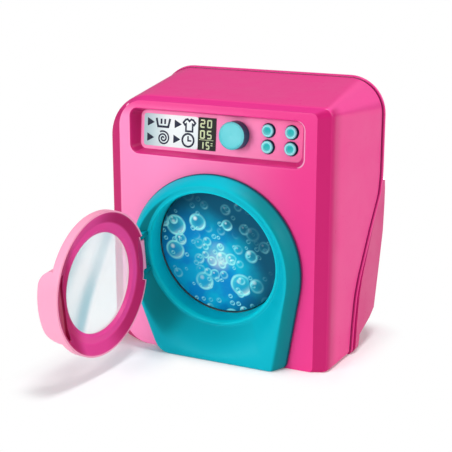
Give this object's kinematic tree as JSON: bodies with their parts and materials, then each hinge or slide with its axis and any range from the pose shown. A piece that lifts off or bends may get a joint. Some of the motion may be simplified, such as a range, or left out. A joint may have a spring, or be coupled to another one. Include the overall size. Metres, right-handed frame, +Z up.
{
  "type": "toy washing machine",
  "caption": "Toy front-loading washing machine: pink shells, turquoise arch panel, hinged round door, motor-driven drum, knob, push buttons, display and battery bay.",
  "frame": {"origin": "centre of the footprint, on the floor the machine stands on", "axes": "+X to the right seen from the front, +Y towards the back, +Z up"},
  "size_m": [0.1742, 0.2127, 0.1861],
  "materials": {
    "pink_plastic": "moulded, satin gloss",
    "turquoise_plastic": "moulded, satin gloss",
    "pale_blue_plastic": "moulded, satin gloss",
    "blue_plastic": "moulded, matt",
    "printed_film": "printed label, satin",
    "display_film": "glossy black",
    "bubble_film": "printed label, gloss",
    "clear_plastic": "clear, slightly hazed",
    "white_plastic": "moulded, matt",
    "grey_plastic": "moulded, matt",
    "black_plastic": "moulded, matt",
    "keypad_rubber": "matt",
    "board": "solder resist",
    "zinc_steel": "zinc plated",
    "brass": "turned",
    "cell_jacket": "printed sleeve"
  },
  "bodies": {
    "machine": {"front_shell": "pink_plastic", "back_shell": "pink_plastic", "arch_panel": "turquoise_plastic", "control_label": "printed_film", "display": "display_film", "keypad": "keypad_rubber", "circuit_board": "board", "knob_switch": "black_plastic", "board_screws": "zinc_steel", "speaker": "black_plastic", "lamp": "clear_plastic", "drum_tub": "grey_plastic", "drum_bush": "brass", "gear_plate": "grey_plastic", "motor": "zinc_steel", "plate_screws": "zinc_steel", "battery_box": "white_plastic", "batteries": "cell_jacket", "battery_contacts": "zinc_steel", "battery_cover": "pink_plastic", "cover_screw": "zinc_steel", "power_switch": "black_plastic", "hinge_pin": "zinc_steel", "shell_screws": "zinc_steel"},
    "knob_body": {"knob": "pale_blue_plastic", "knob_clip": "zinc_steel"},
    "button_upper_left_body": {"button_upper_left": "pale_blue_plastic"},
    "button_upper_right_body": {"button_upper_right": "pale_blue_plastic"},
    "button_lower_left_body": {"button_lower_left": "pale_blue_plastic"},
    "button_lower_right_body": {"button_lower_right": "pale_blue_plastic"},
    "drum_body": {"drum": "blue_plastic", "drum_print": "bubble_film", "drum_shaft": "zinc_steel", "drum_gear": "white_plastic"},
    "spindle_body": {"motor_spindle": "zinc_steel", "motor_pinion": "brass"},
    "slider_body": {"switch_slider": "white_plastic"},
    "door_body": {"door_frame": "pink_plastic", "door_window": "clear_plastic"}
  },
  "joints": [
    {"name": "door_hinge", "type": "hinge", "parent": "machine", "child": "door_body", "pos_m": [-0.05, -0.05343, 0.06963], "axis": [0, -0.1392, 0.9903], "range_deg": [-10, 95]},
    {"name": "drum_spin", "type": "hinge", "parent": "machine", "child": "drum_body", "pos_m": [0, -0.0465, 0.0706], "axis": [0, -0.9903, -0.1392], "continuous": true},
    {"name": "motor_spin", "type": "hinge", "parent": "machine", "child": "spindle_body", "pos_m": [-0.01699, -0.04953, 0.09214], "axis": [0, -0.9903, -0.1392], "continuous": true},
    {"name": "knob_turn", "type": "hinge", "parent": "machine", "child": "knob_body", "pos_m": [0.0122, -0.03256, 0.1534], "axis": [0, -0.9962, 0.0872], "continuous": true},
    {"name": "button_upper_left_press", "type": "slide", "parent": "machine", "child": "button_upper_left_body", "axis": [0, 0.9962, -0.0872], "range_m": [0, 0.0015], "stiffness_N_per_m": 400},
    {"name": "button_upper_right_press", "type": "slide", "parent": "machine", "child": "button_upper_right_body", "axis": [0, 0.9962, -0.0872], "range_m": [0, 0.0015], "stiffness_N_per_m": 400},
    {"name": "button_lower_left_press", "type": "slide", "parent": "machine", "child": "button_lower_left_body", "axis": [0, 0.9962, -0.0872], "range_m": [0, 0.0015], "stiffness_N_per_m": 400},
    {"name": "button_lower_right_press", "type": "slide", "parent": "machine", "child": "button_lower_right_body", "axis": [0, 0.9962, -0.0872], "range_m": [0, 0.0015], "stiffness_N_per_m": 400},
    {"name": "switch_slide", "type": "slide", "parent": "machine", "child": "slider_body", "axis": [1, 0, 0], "range_m": [0, 0.004]}
  ],
  "couplings": [
    {"joint": "motor_spin", "follows": "drum_spin", "ratio": -4}
  ]
}
